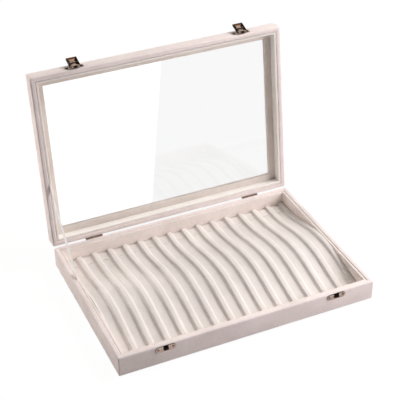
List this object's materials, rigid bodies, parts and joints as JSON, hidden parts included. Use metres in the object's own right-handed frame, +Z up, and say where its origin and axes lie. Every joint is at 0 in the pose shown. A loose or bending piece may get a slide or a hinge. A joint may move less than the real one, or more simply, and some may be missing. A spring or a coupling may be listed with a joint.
{
  "type": "jewellery organizer box",
  "caption": "Velvet-covered jewellery organizer box with a glass lid standing open, a fluted pad inside, butt hinges, box hasps and a ribbon stay.",
  "frame": {"origin": "middle of the base's underside, where the box rests on a table", "axes": "+X to the right along the hinge line, +Y to the back where the hinges are, +Z up"},
  "size_m": [0.35, 0.2972, 0.2752],
  "materials": {
    "pale_velvet": "short-pile velvet",
    "liner_velvet": "short-pile velvet",
    "pad_velvet": "short-pile velvet",
    "cover_velvet": "flat felt",
    "fibreboard": "raw board",
    "clear_glass": "polished",
    "polished_nickel": "polished",
    "satin_ribbon": "satin"
  },
  "bodies": {
    "base": {"bottom_cover_sheet": "cover_velvet", "bottom_board": "fibreboard", "insert_backing_card": "fibreboard", "base_front_wall": "pale_velvet", "base_right_wall": "pale_velvet", "base_back_wall": "pale_velvet", "base_left_wall": "pale_velvet", "base_front_liner": "liner_velvet", "base_right_liner": "liner_velvet", "base_back_liner": "liner_velvet", "base_left_liner": "liner_velvet", "fluted_pad": "pad_velvet", "catch_plate_left": "polished_nickel", "catch_plate_right": "polished_nickel", "hinge_base_leaf_left": "polished_nickel", "hinge_base_leaf_right": "polished_nickel", "hinge_pin_left": "polished_nickel", "hinge_pin_right": "polished_nickel", "catch_screw_1": "polished_nickel", "catch_screw_2": "polished_nickel", "catch_screw_3": "polished_nickel", "catch_screw_4": "polished_nickel", "hinge_base_screw_1": "polished_nickel", "hinge_base_screw_2": "polished_nickel", "hinge_base_screw_3": "polished_nickel", "hinge_base_screw_4": "polished_nickel", "ribbon_stay": "satin_ribbon"},
    "lid": {"lid_front_wall": "pale_velvet", "lid_right_wall": "pale_velvet", "lid_back_wall": "pale_velvet", "lid_left_wall": "pale_velvet", "lid_top_front_rail": "pale_velvet", "lid_top_right_rail": "pale_velvet", "lid_top_back_rail": "pale_velvet", "lid_top_left_rail": "pale_velvet", "lid_front_liner": "liner_velvet", "lid_right_liner": "liner_velvet", "lid_back_liner": "liner_velvet", "lid_left_liner": "liner_velvet", "lid_inner_front_rail": "liner_velvet", "lid_inner_right_rail": "liner_velvet", "lid_inner_back_rail": "liner_velvet", "lid_inner_left_rail": "liner_velvet", "glass_pane": "clear_glass", "hinge_lid_leaf_left": "polished_nickel", "hinge_lid_leaf_right": "polished_nickel", "latch_plate_left": "polished_nickel", "latch_plate_right": "polished_nickel", "hasp_pin_left": "polished_nickel", "hasp_pin_right": "polished_nickel", "hinge_lid_screw_1": "polished_nickel", "hinge_lid_screw_2": "polished_nickel", "hinge_lid_screw_3": "polished_nickel", "hinge_lid_screw_4": "polished_nickel", "latch_plate_screw_1": "polished_nickel", "latch_plate_screw_2": "polished_nickel", "latch_plate_screw_3": "polished_nickel", "latch_plate_screw_4": "polished_nickel"},
    "hasp_left": {"hasp_left": "polished_nickel"},
    "hasp_right": {"hasp_right": "polished_nickel"}
  },
  "joints": [
    {"name": "lid_hinge", "type": "hinge", "parent": "base", "child": "lid", "pos_m": [0, 0.1207, 0.02915], "axis": [1, 0, 0], "range_deg": [0, 97.9], "deforming": ["ribbon_stay"]},
    {"name": "hasp_left_hinge", "type": "hinge", "parent": "lid", "child": "hasp_left", "pos_m": [-0.1145, 0.15593, 0.26959], "axis": [1, 0, 0], "range_deg": [0, 156]},
    {"name": "hasp_right_hinge", "type": "hinge", "parent": "lid", "child": "hasp_right", "pos_m": [0.1195, 0.15593, 0.26959], "axis": [1, 0, 0], "range_deg": [0, 156]}
  ]
}
